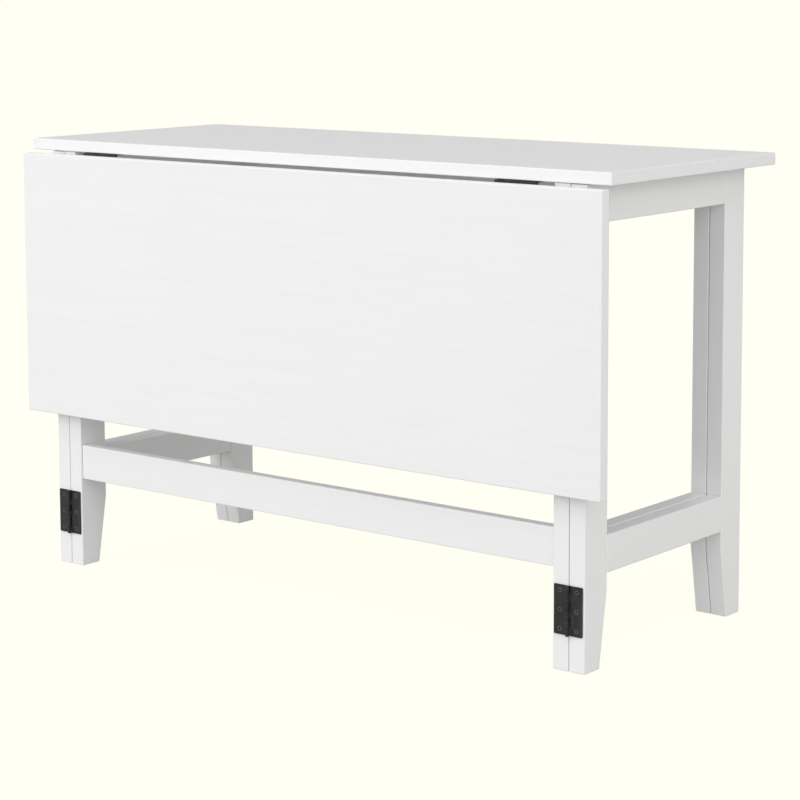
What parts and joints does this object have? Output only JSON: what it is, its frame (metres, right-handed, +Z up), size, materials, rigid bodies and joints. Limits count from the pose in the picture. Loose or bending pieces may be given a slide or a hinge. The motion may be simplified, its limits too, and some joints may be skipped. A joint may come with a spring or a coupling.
{
  "type": "drop leaf table",
  "caption": "White drop leaf table on nested side frames; one wide leaf hangs in front and two gate frames swing out to carry it.",
  "frame": {"origin": "centre of the whole table's footprint, leaf hanging, on the floor under the feet", "axes": "+X along the length of the top, +Y to the rear away from the hanging leaf, +Z up"},
  "size_m": [1.209, 0.4934, 0.75],
  "materials": {
    "white_paint": "white satin paint over wood with a faint grain",
    "black_hinge": "satin black coated steel",
    "black_fastener": "satin black coated steel",
    "zinc_steel": "bright zinc plated steel"
  },
  "bodies": {
    "frame": {"front_stretcher": "white_paint", "front_stretcher_bolt_left": "zinc_steel", "front_stretcher_bolt_right": "zinc_steel", "left_frame_front_leg": "white_paint", "left_frame_lower_rail": "white_paint", "left_frame_rear_leg": "white_paint", "left_frame_screw_1": "black_fastener", "left_frame_screw_2": "black_fastener", "left_frame_screw_3": "black_fastener", "left_frame_upper_rail": "white_paint", "left_leaf_hinge_pin": "black_fastener", "left_leaf_hinge_top_plate": "black_hinge", "left_lower_hinge_frame_plate": "black_hinge", "left_lower_hinge_pin": "black_fastener", "left_upper_hinge_frame_plate": "black_hinge", "left_upper_hinge_pin": "black_fastener", "rear_apron": "white_paint", "rear_apron_bolt_left": "zinc_steel", "rear_apron_bolt_right": "zinc_steel", "right_frame_front_leg": "white_paint", "right_frame_lower_rail": "white_paint", "right_frame_rear_leg": "white_paint", "right_frame_screw_1": "black_fastener", "right_frame_screw_2": "black_fastener", "right_frame_screw_3": "black_fastener", "right_frame_upper_rail": "white_paint", "right_leaf_hinge_pin": "black_fastener", "right_leaf_hinge_top_plate": "black_hinge", "right_lower_hinge_frame_plate": "black_hinge", "right_lower_hinge_pin": "black_fastener", "right_upper_hinge_frame_plate": "black_hinge", "right_upper_hinge_pin": "black_fastener", "tabletop": "white_paint"},
    "leaf": {"drop_leaf": "white_paint", "left_leaf_hinge_leaf_plate": "black_hinge", "right_leaf_hinge_leaf_plate": "black_hinge"},
    "left_gate": {"left_gate_front_leg": "white_paint", "left_gate_lower_rail": "white_paint", "left_gate_rear_leg": "white_paint", "left_gate_screw_1": "black_fastener", "left_gate_screw_2": "black_fastener", "left_gate_screw_3": "black_fastener", "left_gate_upper_rail": "white_paint", "left_lower_hinge_gate_plate": "black_hinge", "left_upper_hinge_gate_plate": "black_hinge"},
    "right_gate": {"right_gate_front_leg": "white_paint", "right_gate_lower_rail": "white_paint", "right_gate_rear_leg": "white_paint", "right_gate_screw_1": "black_fastener", "right_gate_screw_2": "black_fastener", "right_gate_screw_3": "black_fastener", "right_gate_upper_rail": "white_paint", "right_lower_hinge_gate_plate": "black_hinge", "right_upper_hinge_gate_plate": "black_hinge"}
  },
  "joints": [
    {"name": "leaf_fold", "type": "hinge", "parent": "frame", "child": "leaf", "pos_m": [0, -0.22325, 0.7265], "axis": [-1, 0, 0], "range_deg": [0, 90]},
    {"name": "left_gate_swing", "type": "hinge", "parent": "frame", "child": "left_gate", "pos_m": [-0.5315, -0.22275, 0], "axis": [0, 0, 1], "range_deg": [0, 12]},
    {"name": "right_gate_swing", "type": "hinge", "parent": "frame", "child": "right_gate", "pos_m": [0.5315, -0.22275, 0], "axis": [0, 0, -1], "range_deg": [0, 12]}
  ]
}
